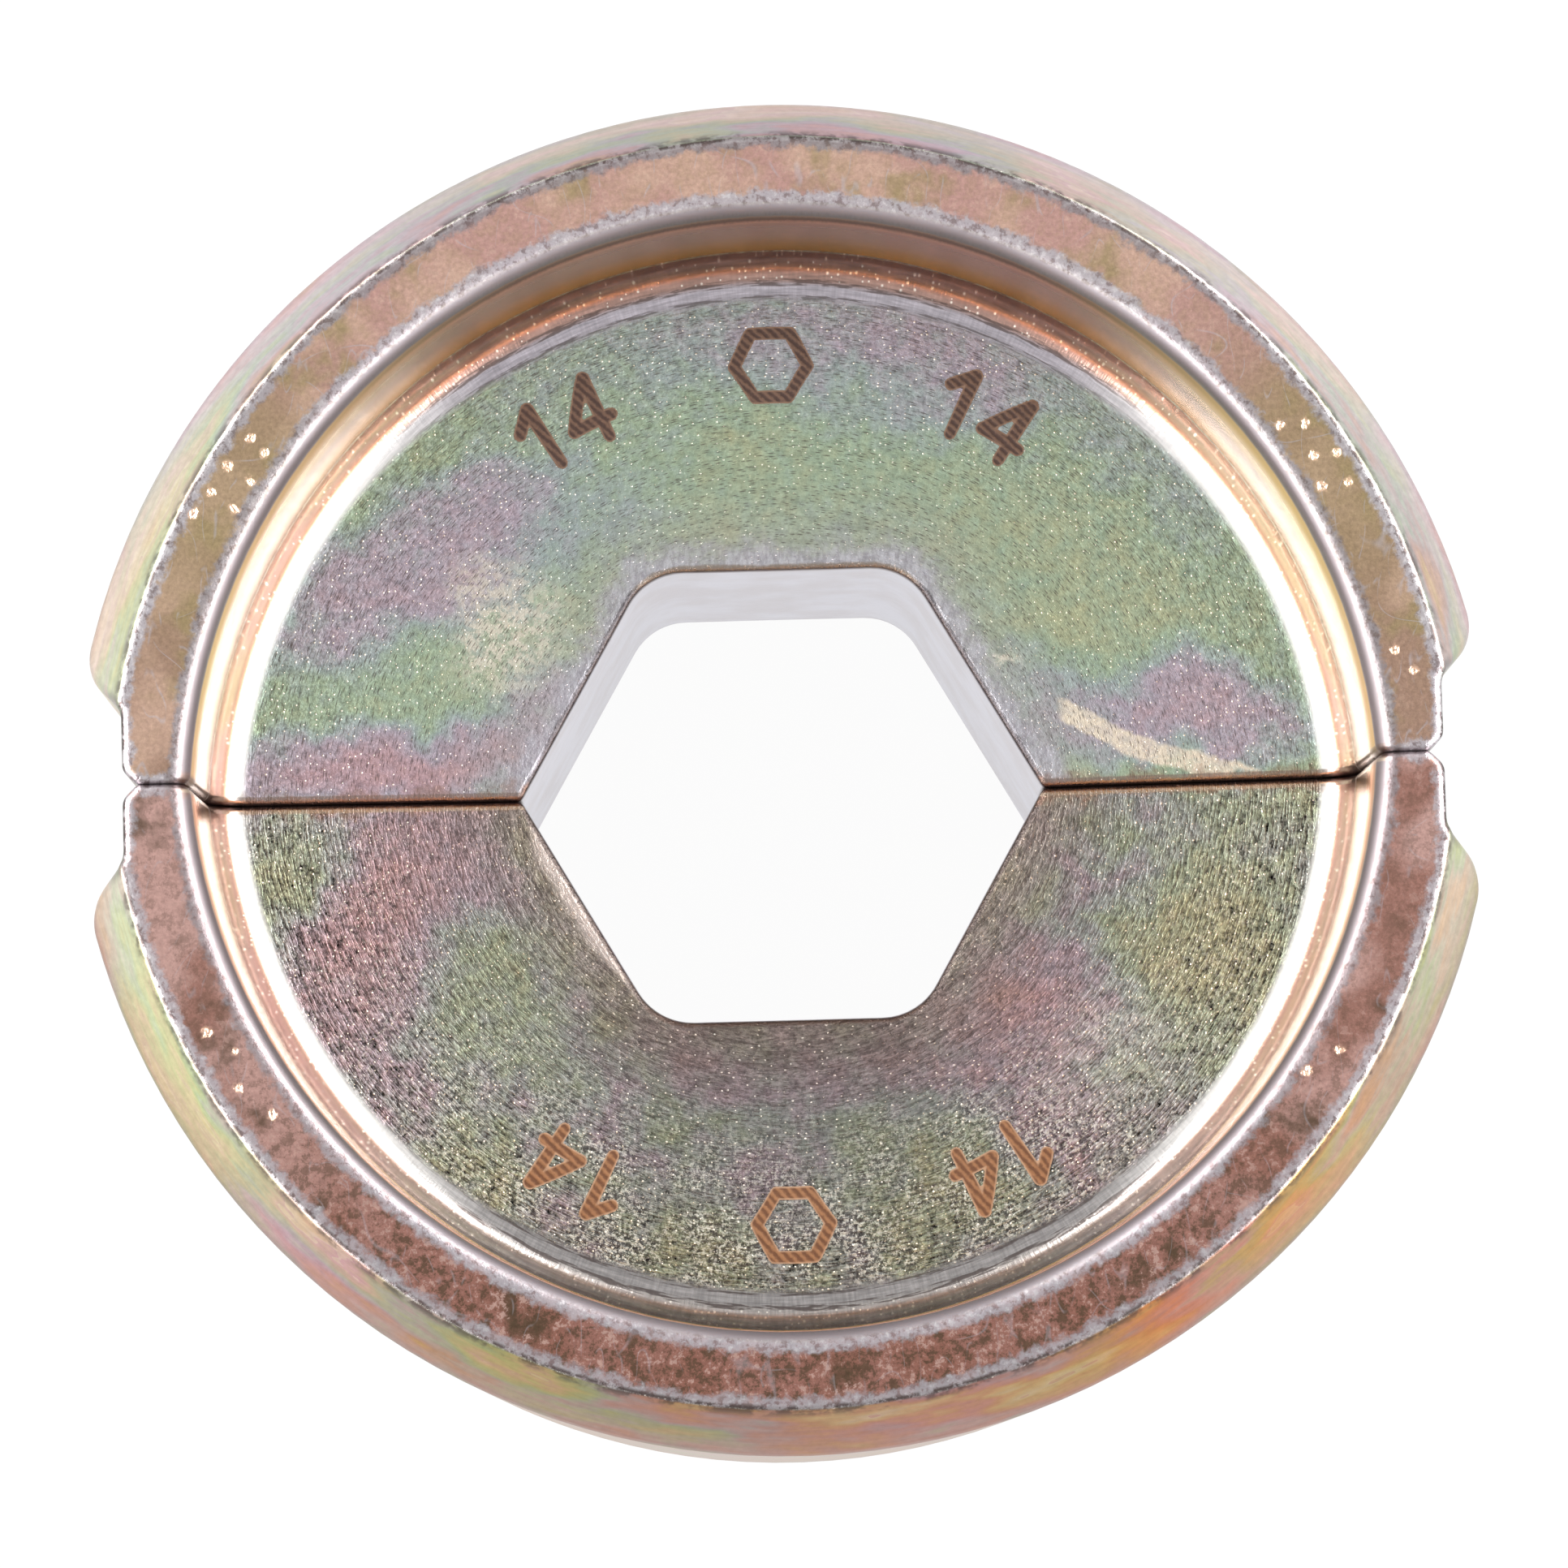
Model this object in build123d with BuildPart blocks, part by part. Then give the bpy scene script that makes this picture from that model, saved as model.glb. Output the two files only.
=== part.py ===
from build123d import *

import os
from math import cos, hypot, radians, sin, tan

# A pair of half-round crimping dies, closed on each other round a hexagonal cavity.
# Frame: +Z is the crimp axis and z = 0 holds the rim faces that the pair lies on. The halves
# meet on the plane y = 0, and x and y are measured from the middle of the hexagon.

# crimp cavity
hex_flats = 14.4              # across the flats of the closed hexagon
hex_corner_radius = 2.0       # in the four corners that are not on the parting face
lip_radius = 0.25             # rounding of the cavity mouth

# turned section, with radii from the turning axis of each half
die_width = 30.0              # rim face to rim face
ridge_radius = 22.1           # cylindrical land that seats in the press head
cone_rise = 1.4               # radial step from the rim's edge up to the land
cone_length = 2.1             # along the axis, from a rim face to the land
rim_width = 2.35              # rim face between its two edges, before they are rounded
recess_draft = 2.0            # degrees, each recess narrows towards the web
web_thickness = 14.8          # across the two recess floors, at the foot of the wall
web_dish = 5.0                # degrees, each floor falls towards the hexagon
foot_radius = 1.3             # between recess wall and floor
rim_inner_round = 0.7
rim_outer_round = 0.3

# parting: a half is less than half of the turned ring, by the metal lost when it was parted
axis_setback = 1.02           # turning axis beyond the parting face
parting_round = 0.3           # all edges of the parting faces

# cut-back beside each end of the parting face, which clears the head's keys
cutback_depth = 1.76          # below the land, measured on the parting face
cutback_height = 2.35         # from the parting face to the start of the ramp
cutback_ramp = 45.0           # degrees between the ramp and the flat
cutback_inner_round = 0.8     # where the flat turns into the ramp
ridge_end_round = 1.6         # where the ramp turns into the land
cutback_edge_round = 0.45     # where the ramp and its round run out on the cones
end_bevel = 0.45              # outer corner of the parting face
end_bevel_round = 0.5         # where the bevel turns into the flat

os.makedirs("parts", exist_ok=True)

tiny = 0.001
middle = die_width / 2
rim_outer_radius = ridge_radius - cone_rise
recess_radius = rim_outer_radius - rim_width
rim_mid_radius = rim_outer_radius - rim_width / 2
hex_corner_reach = hex_flats / 2 / cos(radians(30))

# recess wall and floor as straight lines of the section, heights from the middle plane
recess_depth = (die_width - web_thickness) / 2
foot_corner = recess_radius - recess_depth * tan(radians(recess_draft))
floor_at_axis = web_thickness / 2 - foot_corner * tan(radians(web_dish))

upper_side = [
    (0, floor_at_axis),
    (foot_corner, web_thickness / 2),
    (recess_radius, middle),
    (rim_outer_radius, middle),
    (ridge_radius, middle - cone_length),
]
lower_side = [(radius, -height) for radius, height in reversed(upper_side)]

# outline of a half seen along the crimp axis, before it is cut to the circle of the land
flat_x = ridge_radius - cutback_depth
clear = 2 * cutback_depth
ramp_end = (
    flat_x + clear * sin(radians(cutback_ramp)),
    cutback_height + clear * cos(radians(cutback_ramp)),
)
ridge_end_height = cutback_height + cutback_depth + ridge_end_round

turning_axis = Axis((0, -axis_setback, 0), (0, 0, 1))
turning_plane = Plane(origin=(0, -axis_setback, middle), x_dir=(1, 0, 0), z_dir=(0, -1, 0))


def at_radius(vertices, radius):
    """Corners of the turned section at one radius."""
    return vertices.filter_by_position(Axis.X, radius - tiny, radius + tiny)


def from_turning_axis(edge):
    """Distance of an edge's middle from the turning axis."""
    return hypot(edge.center().X, edge.center().Y + axis_setback)


def from_hex_axis(edge):
    """Distance of an edge's middle from the middle of the hexagon."""
    return hypot(edge.center().X, edge.center().Y)


with BuildPart() as upper_die:
    # turned ring with a recess in each face
    with BuildSketch(turning_plane) as section:
        with BuildLine():
            Polyline(upper_side + lower_side, close=True)
        make_face()
        fillet(at_radius(section.vertices(), foot_corner), foot_radius)
        fillet(at_radius(section.vertices(), recess_radius), rim_inner_round)
    revolve(axis=turning_axis)

    # parting face, bevelled ends, cut-backs and ramps
    with BuildSketch(Plane.XY) as plan:
        with BuildLine():
            Polyline(
                (0, 0),
                (flat_x - end_bevel, 0),
                (flat_x, end_bevel),
                (flat_x, cutback_height),
                ramp_end,
                (ramp_end[0], ridge_radius),
                (0, ridge_radius),
                close=True,
            )
        make_face()
        with Locations((0, -axis_setback)):
            Circle(ridge_radius, mode=Mode.INTERSECT)
        fillet(plan.vertices().sort_by(Axis.X)[-1], ridge_end_round)
        fillet(plan.vertices().sort_by_distance((flat_x, end_bevel))[0], end_bevel_round)
        fillet(plan.vertices().sort_by_distance((flat_x, cutback_height))[0], cutback_inner_round)
        mirror(about=Plane.YZ)
    extrude(amount=die_width, mode=Mode.INTERSECT)

    # half of the crimp cavity
    with BuildSketch(Plane.XY) as cavity:
        RegularPolygon(radius=hex_flats / 2, side_count=6, major_radius=False)
        fillet(cavity.vertices().filter_by(lambda v: abs(v.Y) > tiny), hex_corner_radius)
    extrude(amount=die_width, mode=Mode.SUBTRACT)

    # ramps run out softly on the cones
    run_out = upper_die.edges().filter_by(Axis.Z, reverse=True).filter_by(
        lambda e: abs(e.center().X) > flat_x + tiny
        and e.center().Y < ridge_end_height
        and rim_outer_round < e.center().Z < die_width - rim_outer_round
    )
    fillet(run_out, cutback_edge_round)

    # outer edges of both rim faces, round the cut-backs and down to the parting face
    rim_planes = upper_die.edges().group_by(Axis.Z)
    rim_outer_edges = (rim_planes[0] + rim_planes[-1]).filter_by(
        lambda e: from_turning_axis(e) > rim_mid_radius and e.center().Y > tiny
    )
    fillet(rim_outer_edges, rim_outer_round)

    # cavity mouths, then every edge of the two parting faces
    mouth = upper_die.edges().filter_by(Axis.Z, reverse=True).filter_by(
        lambda e: from_hex_axis(e) < hex_corner_reach
    )
    fillet(mouth, lip_radius)
    parting_faces = upper_die.faces().filter_by_position(Axis.Y, -tiny, tiny)
    fillet(parting_faces.edges(), parting_round)

upper_die.part.label = "upper_die"
export_step(upper_die.part, "parts/upper_die.step")

# the other half is the same die, turned half a turn about the crimp axis
with BuildPart() as lower_die:
    add(upper_die.part, rotation=(0, 0, 180))

lower_die.part.label = "lower_die"
export_step(lower_die.part, "parts/lower_die.step")
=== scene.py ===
from math import cos, pi, radians, sin, tan

import bpy
import numpy as np
from mathutils import Matrix, Vector


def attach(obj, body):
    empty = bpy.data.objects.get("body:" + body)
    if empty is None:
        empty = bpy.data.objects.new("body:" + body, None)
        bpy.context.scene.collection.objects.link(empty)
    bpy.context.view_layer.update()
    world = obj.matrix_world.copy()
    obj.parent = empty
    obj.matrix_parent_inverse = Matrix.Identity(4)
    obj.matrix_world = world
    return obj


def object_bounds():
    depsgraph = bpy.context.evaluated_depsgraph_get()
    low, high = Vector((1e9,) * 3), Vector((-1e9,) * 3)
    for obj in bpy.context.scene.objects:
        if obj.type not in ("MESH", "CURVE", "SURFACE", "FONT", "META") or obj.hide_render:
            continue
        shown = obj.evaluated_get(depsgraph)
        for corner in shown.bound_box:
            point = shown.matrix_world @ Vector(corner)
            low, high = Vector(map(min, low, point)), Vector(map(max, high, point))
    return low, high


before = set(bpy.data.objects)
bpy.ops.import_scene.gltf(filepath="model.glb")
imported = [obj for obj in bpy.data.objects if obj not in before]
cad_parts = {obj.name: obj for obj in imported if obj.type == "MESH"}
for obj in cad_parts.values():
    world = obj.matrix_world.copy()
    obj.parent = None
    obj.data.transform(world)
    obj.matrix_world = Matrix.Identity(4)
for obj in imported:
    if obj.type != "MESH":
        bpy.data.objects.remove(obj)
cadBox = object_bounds()
print("frame loaded:", ", ".join(sorted(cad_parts)))

mm = 0.001
photoWidth = 1932            # pixels, square
setback = 1.02               # mm, turning axis of a half beyond the parting face
middle = 15.0                # mm, height of the middle plane of the die
halfFlats = 7.2              # mm, from the middle of the hexagon to a flat


# camera
cameraSet = {
    "tilt": 5.78,            # degrees off the crimp axis, towards -Y
    "yaw": 0.46,
    "roll": 1.51,
    "distance": 237.13 * mm, # from the middle of the die
    "aim": (0.09 * mm, 0.99 * mm),
    "focalPixels": 8911.0,   # focal length in the photo's pixels
}


def addCamera(spec, middleHeight):
    # The camera starts on the crimp axis, slides off centre, then turns about the middle of the die.
    turn = (
        Matrix.Rotation(radians(spec["tilt"]), 4, "X")
        @ Matrix.Rotation(radians(-spec["yaw"]), 4, "Y")
        @ Matrix.Rotation(radians(-spec["roll"]), 4, "Z")
    )
    offset = Matrix.Translation((spec["aim"][0], spec["aim"][1], spec["distance"]))
    data = bpy.data.cameras.new("camera")
    data.sensor_width = 36.0
    data.lens = spec["focalPixels"] * data.sensor_width / photoWidth
    data.clip_start = 0.01
    cam = bpy.data.objects.new("camera", data)
    cam.matrix_world = Matrix.Translation((0, 0, middleHeight)) @ turn @ offset
    bpy.context.scene.collection.objects.link(cam)
    bpy.context.scene.camera = cam
    return cam


addCamera(cameraSet, (cadBox[0][2] + cadBox[1][2]) / 2)
bpy.context.scene.view_settings.view_transform = "Standard"


# small helpers for writing node trees
def put(tree, kind, **settings):
    node = tree.nodes.new(kind)
    for key, value in settings.items():
        setattr(node, key, value)
    return node


def feed(tree, socket, value):
    # a socket is linked, a plain value is written into it
    if isinstance(value, bpy.types.NodeSocket):
        tree.links.new(value, socket)
    elif value is not None:
        if isinstance(value, tuple) and len(value) == 3 and socket.type == "RGBA":
            value = value + (1.0,)
        socket.default_value = value


def calc(tree, operation, a, b=None, c=None):
    node = put(tree, "ShaderNodeMath", operation=operation)
    for i, value in enumerate((a, b, c)):
        feed(tree, node.inputs[i], value)
    return node.outputs[0]


def plus(tree, a, b):
    return calc(tree, "ADD", a, b)


def minus(tree, a, b):
    return calc(tree, "SUBTRACT", a, b)


def times(tree, a, b):
    return calc(tree, "MULTIPLY", a, b)


def hypotenuse(tree, a, b):
    return calc(tree, "SQRT", plus(tree, times(tree, a, a), times(tree, b, b)))


def span(tree, value, low, high, toLow=0.0, toHigh=1.0):
    # smooth step of a value between two limits, clamped outside them
    node = put(tree, "ShaderNodeMapRange", interpolation_type="SMOOTHSTEP")
    names = ("Value", "From Min", "From Max", "To Min", "To Max")
    for name, v in zip(names, (value, low, high, toLow, toHigh)):
        feed(tree, node.inputs[name], v)
    return node.outputs["Result"]


def band(tree, value, low, high, soft):
    # 1 between two limits, fading over a soft width outside them
    return times(tree, span(tree, value, low - soft, low), span(tree, value, high, high + soft, 1.0, 0.0))


def blend(tree, mask, a, b, mode="MIX"):
    node = put(tree, "ShaderNodeMix", data_type="RGBA", blend_type=mode)
    feed(tree, node.inputs["Factor"], mask)
    feed(tree, node.inputs["A"], a)
    feed(tree, node.inputs["B"], b)
    return node.outputs["Result"]


def blendValue(tree, mask, a, b):
    node = put(tree, "ShaderNodeMix", data_type="FLOAT")
    feed(tree, node.inputs["Factor"], mask)
    feed(tree, node.inputs["A"], a)
    feed(tree, node.inputs["B"], b)
    return node.outputs["Result"]


def vector(tree, x, y, z=0.0):
    node = put(tree, "ShaderNodeCombineXYZ")
    for i, value in enumerate((x, y, z)):
        feed(tree, node.inputs[i], value)
    return node.outputs[0]


def noise(tree, place, scale, detail=2.0, rough=0.5, warp=0.0, out="Fac", flat=False):
    # a flat noise reads x and y alone, which is enough on the web and the rim
    node = put(tree, "ShaderNodeTexNoise", noise_dimensions="2D" if flat else "3D")
    names = ("Vector", "Scale", "Detail", "Roughness", "Distortion")
    for name, v in zip(names, (place, scale, detail, rough, warp)):
        feed(tree, node.inputs[name], v)
    return node.outputs[out]


def ramp(tree, value, stops):
    node = put(tree, "ShaderNodeValToRGB")
    row = node.color_ramp
    while len(row.elements) < len(stops):
        row.elements.new(0.5)
    for element, (at, colour) in zip(row.elements, stops):
        element.position = at
        element.color = colour + (1.0,)
    feed(tree, node.inputs[0], value)
    return node.outputs[0]


def paint(*levels):
    # red, green and blue of a screen colour, 0 to 255, as the linear colour that the shaders use
    return tuple(((v / 255 + 0.055) / 1.055) ** 2.4 if v > 10 else v / 255 / 12.92 for v in levels)


def startGroup(name, takes, gives):
    # an empty shader group with named sockets: (name, kind, value at start)
    group = bpy.data.node_groups.new(name, "ShaderNodeTree")
    for label, kind, value in takes:
        socket = group.interface.new_socket(label, in_out="INPUT", socket_type="NodeSocket" + kind)
        if value is not None:
            socket.default_value = value
    for label, kind in gives:
        group.interface.new_socket(label, in_out="OUTPUT", socket_type="NodeSocket" + kind)
    source = group.nodes.new("NodeGroupInput")
    sink = group.nodes.new("NodeGroupOutput")
    return group, source.outputs, sink.inputs


def use(tree, group, **values):
    # places a group in a tree; keyword names are the socket names without spaces
    node = put(tree, "ShaderNodeGroup", node_tree=group)
    for socket in node.inputs:
        key = socket.name.replace(" ", "")
        if key in values:
            feed(tree, socket, values[key])
    return node.outputs


# where a point lies on the die
def makeDieZones():
    # From a place in metres: millimetres, radius and angle about the half's own turning axis, height from
    # the middle plane, distance inside the rim's outline, distance from the middle of the hexagon, distance
    # from the parting plane, the place along the turning, how near it is to the die's two sides (0 at top
    # and bottom, 1 at the sides), and masks of the turned zones.
    group, take, give = startGroup(
        "dieZones",
        [("Place", "Vector", None)],
        [("Millimetres", "Vector"), ("Radius", "Float"), ("Angle", "Float"), ("Height", "Float"),
         ("Rim Depth", "Float"), ("Hex Distance", "Float"), ("Parting", "Float"), ("Around", "Vector"),
         ("Sides", "Float"), ("Foot", "Float"), ("Wall", "Float"), ("Rim", "Float"),
         ("Outside", "Float"), ("Hex Wall", "Float")],
    )
    t = group
    scaled = put(t, "ShaderNodeVectorMath", operation="SCALE")
    feed(t, scaled.inputs[0], take["Place"])
    scaled.inputs["Scale"].default_value = 1000.0
    place = scaled.outputs[0]
    parts = put(t, "ShaderNodeSeparateXYZ")
    feed(t, parts.inputs[0], place)
    x, y, z = parts.outputs
    acrossX = calc(t, "ABSOLUTE", x)
    acrossY = calc(t, "ABSOLUTE", y)
    fromAxis = plus(t, acrossY, setback)
    radius = hypotenuse(t, x, fromAxis)
    side = calc(t, "SIGN", y)
    angle = calc(t, "ARCTAN2", times(t, fromAxis, side), x)
    height = calc(t, "ABSOLUTE", minus(t, z, middle))

    # inside the rim's outline: from the outer circle, the cut-back flat and its ramp
    toCircle = minus(t, zoneSet["rimOuter"], radius)
    toFlat = minus(t, zoneSet["flatX"], acrossX)
    pastFlat = minus(t, acrossX, zoneSet["flatX"])
    aboveRamp = times(t, minus(t, minus(t, acrossY, zoneSet["rampY"]), pastFlat), zoneSet["rampSlope"])
    rimDepth = calc(t, "MINIMUM", toCircle, calc(t, "MAXIMUM", toFlat, aboveRamp))
    hexSide = plus(t, times(t, acrossY, zoneSet["hexSlopeY"]), times(t, acrossX, zoneSet["hexSlopeX"]))
    hexDistance = calc(t, "MAXIMUM", acrossY, hexSide)
    # the corner of the hexagon that is rounded: distance from the centre of its arc, inside the arc's sector
    cornerX = minus(t, acrossX, zoneSet["cornerX"])
    cornerY = minus(t, acrossY, zoneSet["cornerY"])
    cornerReach = hypotenuse(t, cornerX, cornerY)
    beyondX = calc(t, "GREATER_THAN", cornerX, 0.0)
    beyondSide = calc(t, "GREATER_THAN", times(t, cornerY, zoneSet["sectorSlope"]), cornerX)
    inSector = times(t, beyondX, beyondSide)
    hexDistance = blendValue(t, inSector, hexDistance, plus(t, cornerReach, zoneSet["cornerY"]))

    # the pattern frame that runs round the turning axis: radius, arc length, height
    arc = times(t, angle, zoneSet["arcRadius"])
    sides = calc(t, "ABSOLUTE", calc(t, "COSINE", angle))

    # masks
    inner = span(t, radius, *zoneSet["recessEnd"], 1.0, 0.0)
    low = span(t, height, *zoneSet["footTop"], 1.0, 0.0)
    hexWall = span(t, hexDistance, *zoneSet["hexEnd"], 1.0, 0.0)
    footStart = minus(t, radius, span(t, sides, 0.4, 0.9, 0.0, 0.32))
    foot = times(t, times(t, span(t, footStart, *zoneSet["footStart"]), low), inner)
    wall = times(t, times(t, inner, minus(t, 1.0, low)), span(t, radius, *zoneSet["wallStart"]))
    onFace = times(t, span(t, radius, *zoneSet["rimStart"]), span(t, height, *zoneSet["rimHeight"]))
    rim = times(t, onFace, span(t, rimDepth, *zoneSet["rimEnd"]))
    outside = times(t, span(t, radius, *zoneSet["outsideStart"]), minus(t, 1.0, rim))
    for name, value in (
        ("Millimetres", place), ("Radius", radius), ("Angle", angle), ("Height", height),
        ("Rim Depth", rimDepth), ("Hex Distance", hexDistance), ("Parting", acrossY),
        ("Around", vector(t, radius, arc, height)), ("Sides", sides), ("Foot", foot), ("Wall", wall),
        ("Rim", rim), ("Outside", outside), ("Hex Wall", hexWall),
    ):
        feed(t, give[name], value)
    return group


zoneSet = {
    "rimOuter": 20.7,        # mm from the turning axis
    "flatX": 20.34,          # mm, the cut-back flats
    "rampY": 2.35,           # mm, where the ramps start
    "rampSlope": 0.7071,     # sine of the ramps' 45 degrees
    "hexSlopeX": 0.8660,     # a slanted side of the hexagon faces this way
    "hexSlopeY": 0.5,
    "cornerX": 3.002,        # mm, centre of a rounded corner of the hexagon, radius 2
    "cornerY": 5.2,
    "sectorSlope": 1.7321,   # of the border between a corner's arc and the slanted side
    "arcRadius": 16.0,       # mm, where arc lengths are true
    # each zone fades in or out between two limits, in mm
    "recessEnd": (18.55, 18.75),
    "footStart": (16.7, 17.0),
    "footTop": (8.7, 9.3),
    "wallStart": (17.0, 17.4),
    "hexEnd": (7.21, 7.26),
    "rimStart": (18.5, 18.7),
    "rimEnd": (-0.05, 0.05),
    "rimHeight": (14.3, 14.6),
    "outsideStart": (18.7, 18.9),
}
dieZones = makeDieZones()


def makeWanderPlace():
    # The place pushed about by a noise, so that what is drawn on it gets ragged borders.
    group, take, give = startGroup(
        "wanderPlace",
        [("Millimetres", "Vector", None), ("Scale", "Float", 0.45), ("Reach", "Float", 2.0)],
        [("Place", "Vector")],
    )
    t = group
    wander = noise(t, take["Millimetres"], take["Scale"], 2.0, 0.6, out="Color", flat=True)
    centred = put(t, "ShaderNodeVectorMath", operation="SUBTRACT")
    feed(t, centred.inputs[0], wander)
    centred.inputs[1].default_value = (0.5, 0.5, 0.5)
    pushed = put(t, "ShaderNodeVectorMath", operation="SCALE")
    feed(t, pushed.inputs[0], centred.outputs[0])
    feed(t, pushed.inputs["Scale"], take["Reach"])
    moved = put(t, "ShaderNodeVectorMath", operation="ADD")
    feed(t, moved.inputs[0], take["Millimetres"])
    feed(t, moved.inputs[1], pushed.outputs[0])
    flat = put(t, "ShaderNodeVectorMath", operation="MULTIPLY")
    feed(t, flat.inputs[0], moved.outputs[0])
    flat.inputs[1].default_value = (1, 1, 0)
    feed(t, give["Place"], flat.outputs[0])
    return group


wanderPlace = makeWanderPlace()


def makeSoftSpot():
    # A patch: an ellipse about its centre, turned, with a soft border.
    group, take, give = startGroup(
        "softSpot",
        [("Place", "Vector", None), ("Centre", "Vector", (0, 0, 0)), ("Size", "Vector", (1, 1, 1)),
         ("Turn", "Float", 0.0), ("Soft", "Float", 0.5)],
        [("Mask", "Float")],
    )
    t = group
    moved = put(t, "ShaderNodeVectorMath", operation="SUBTRACT")
    feed(t, moved.inputs[0], take["Place"])
    feed(t, moved.inputs[1], take["Centre"])
    turned = put(t, "ShaderNodeVectorRotate", rotation_type="Z_AXIS")
    feed(t, turned.inputs["Vector"], moved.outputs[0])
    feed(t, turned.inputs["Angle"], times(t, take["Turn"], -pi / 180))
    fitted = put(t, "ShaderNodeVectorMath", operation="DIVIDE")
    feed(t, fitted.inputs[0], turned.outputs[0])
    feed(t, fitted.inputs[1], take["Size"])
    far = put(t, "ShaderNodeVectorMath", operation="LENGTH")
    feed(t, far.inputs[0], fitted.outputs[0])
    edgeIn = minus(t, 1.0, take["Soft"])
    edgeOut = plus(t, 1.0, take["Soft"])
    feed(t, give["Mask"], span(t, far.outputs["Value"], edgeIn, edgeOut, 1.0, 0.0))
    return group


softSpot = makeSoftSpot()


def makeFilmTint():
    # Thickness of the passivation film, 0 to 1, as the interference colour that it shows.
    group, take, give = startGroup("filmTint", [("Thickness", "Float", 0.5)], [("Color", "Color")])
    stops = [
        (0.00, paint(214, 200, 172)), (0.12, paint(206, 178, 118)), (0.24, paint(196, 140, 92)),
        (0.34, paint(190, 126, 124)), (0.44, paint(178, 132, 152)), (0.54, paint(164, 152, 178)),
        (0.63, paint(140, 170, 172)), (0.72, paint(138, 178, 140)), (0.82, paint(166, 178, 120)),
        (0.92, paint(196, 172, 136)), (1.00, paint(198, 158, 156)),
    ]
    feed(group, give["Color"], ramp(group, take["Thickness"], stops))
    return group


filmTint = makeFilmTint()


def pickCells(t, place, scale, share, core, reach):
    # small soft dots in a share of the cells of a flat cell pattern
    cells = put(t, "ShaderNodeTexVoronoi", feature="F1", voronoi_dimensions="2D")
    feed(t, cells.inputs["Vector"], place)
    cells.inputs["Scale"].default_value = scale
    pick = put(t, "ShaderNodeSeparateColor")
    feed(t, pick.inputs[0], cells.outputs["Color"])
    far = calc(t, "MULTIPLY_ADD", pick.outputs[1], reach, 0.3 * reach)    # each dot has its own size
    dot = span(t, cells.outputs["Distance"], core, far, 1.0, 0.0)
    return times(t, calc(t, "LESS_THAN", pick.outputs[0], share), dot)


def makeGrain():
    # Crystalline speckle of a plated face: a fine light and dark grain, bright facets, dark pits and the
    # fine lay left by the cutting tool. Stretch is the pattern's place after the lay has been stretched.
    group, take, give = startGroup(
        "platingGrain",
        [("Millimetres", "Vector", None), ("Stretch", "Vector", None), ("Fine", "Float", 8.0),
         ("Facets", "Float", 0.5), ("Pits", "Float", 0.5), ("Lay", "Float", 0.3)],
        [("Light", "Float"), ("Facet", "Float"), ("Pit", "Float"), ("Height", "Float")],
    )
    t = group
    fine = noise(t, take["Millimetres"], take["Fine"], 3.0, 0.7, flat=True)
    coarse = noise(t, take["Millimetres"], times(t, take["Fine"], 0.35), 1.0, 0.5, flat=True)
    lay = noise(t, take["Stretch"], 1.0, 2.0, 0.6, flat=True)
    light = plus(t, times(t, minus(t, fine, 0.5), 1.6), times(t, minus(t, coarse, 0.5), 0.8))
    lines = minus(t, span(t, lay, 0.38, 0.60), 0.5)
    light = calc(t, "MULTIPLY_ADD", lines, take["Lay"], light)
    facet = pickCells(t, take["Millimetres"], 5.0, take["Facets"], 0.01, 0.19)
    pit = pickCells(t, take["Stretch"], 1.4, take["Pits"], 0.06, 0.40)
    feed(t, give["Light"], light)
    feed(t, give["Facet"], facet)
    feed(t, give["Pit"], pit)
    rise = plus(t, light, times(t, facet, 0.8))
    feed(t, give["Height"], rise)
    return group


platingGrain = makeGrain()


def makeScratches():
    # Thin wandering handling scratches: lines where a stretched noise crosses its middle value.
    group, take, give = startGroup(
        "handlingScratches",
        [("Place", "Vector", None), ("Scale", "Float", 0.35), ("Thin", "Float", 0.02)],
        [("Mask", "Float")],
    )
    t = group
    field = noise(t, take["Place"], take["Scale"], 1.0, 0.4, 0.15, flat=True)
    line = span(t, calc(t, "ABSOLUTE", minus(t, field, 0.5)), 0.0, take["Thin"], 1.0, 0.0)
    broken = noise(t, take["Place"], times(t, take["Scale"], 3.0), 1.0, 0.5, flat=True)
    feed(t, give["Mask"], times(t, line, span(t, broken, 0.42, 0.6)))
    return group


handlingScratches = makeScratches()
print("node groups made")
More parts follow.
